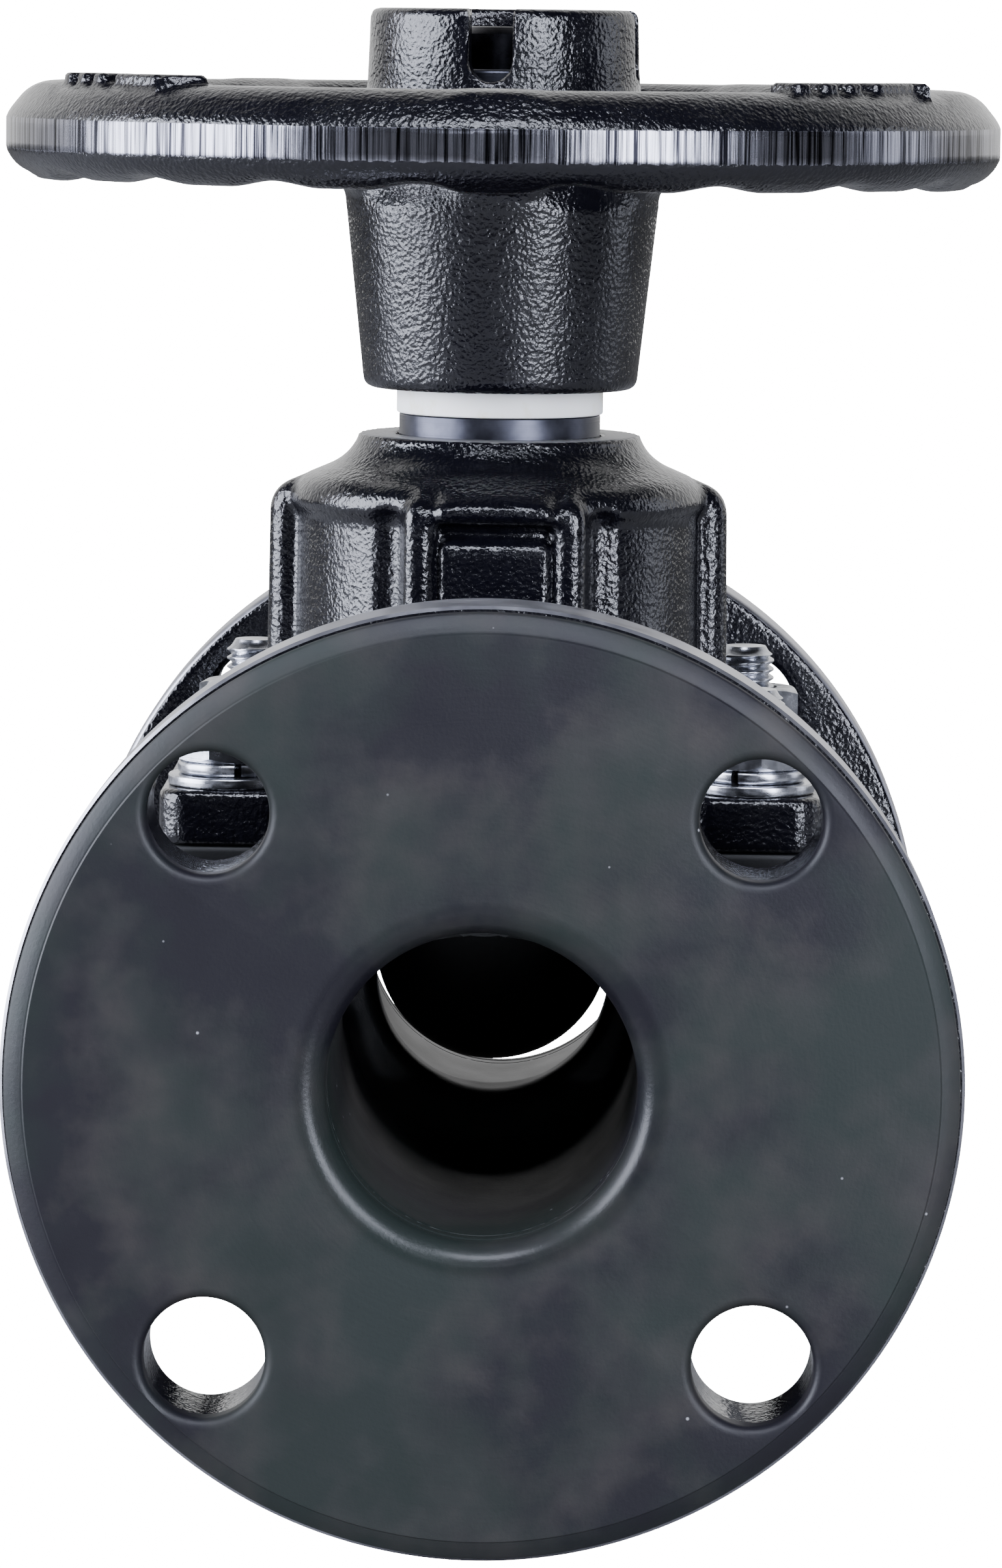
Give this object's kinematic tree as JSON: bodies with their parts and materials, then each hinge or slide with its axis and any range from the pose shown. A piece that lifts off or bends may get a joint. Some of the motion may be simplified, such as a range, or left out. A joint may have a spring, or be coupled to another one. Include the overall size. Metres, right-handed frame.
{
  "type": "diaphragm valve",
  "caption": "Flanged weir diaphragm valve, rubber lined, with a cast handwheel on a rising spindle.",
  "frame": {"origin": "centre of the inlet flange sealing face, on the bore axis", "axes": "+Y along the flow from inlet to outlet, +Z along the spindle towards the handwheel, +X to the right seen from the inlet"},
  "size_m": [0.165, 0.19, 0.2414],
  "materials": {
    "cast_enamel": "semi-gloss black epoxy enamel on grey iron castings",
    "wheel_enamel": "semi-gloss black enamel, with the rim land ground through it",
    "rubber_lining": "moulded hard black rubber, matt",
    "rubber_diaphragm": "moulded black rubber",
    "zinc_plate": "bright zinc plated steel",
    "bearing_bronze": "turned bronze",
    "spring_steel": "phosphated spring steel",
    "seal_rubber": "nitrile rubber",
    "satin_steel": "turned steel, satin, darkened",
    "white_nylon": "off-white nylon",
    "turned_steel": "turned steel",
    "cast_iron": "bare grey iron"
  },
  "bodies": {
    "valve_body": {"body_casting": "cast_enamel", "body_lining": "rubber_lining", "bonnet": "cast_enamel", "diaphragm": "rubber_diaphragm", "bonnet_studs": "zinc_plate", "bonnet_nuts": "zinc_plate", "bonnet_washers": "zinc_plate", "bonnet_spring_washers": "zinc_plate", "upper_thrust_washer": "bearing_bronze", "lower_thrust_washer": "bearing_bronze", "bore_retaining_ring": "spring_steel", "sleeve_seal": "seal_rubber"},
    "wheel_group": {"handwheel": "wheel_enamel", "drive_sleeve": "satin_steel", "spindle_seal": "seal_rubber", "hub_ring": "white_nylon", "drive_key": "spring_steel", "wheel_washer": "zinc_plate", "wheel_retaining_ring": "spring_steel"},
    "spindle_group": {"spindle": "turned_steel", "compressor": "cast_iron", "compressor_pin": "turned_steel", "diaphragm_insert": "turned_steel"}
  },
  "joints": [
    {"name": "handwheel_turn", "type": "hinge", "parent": "valve_body", "child": "wheel_group", "pos_m": [0, 0.095, 0.0959], "axis": [0, 0, 1], "range_deg": [-360, 1224]},
    {"name": "spindle_lift", "type": "slide", "parent": "valve_body", "child": "spindle_group", "axis": [0, 0, 1], "range_m": [-0.005, 0.017], "deforming": ["diaphragm"]}
  ],
  "couplings": [
    {"joint": "spindle_lift", "follows": "handwheel_turn", "m_per_rad": 0.00079577}
  ]
}
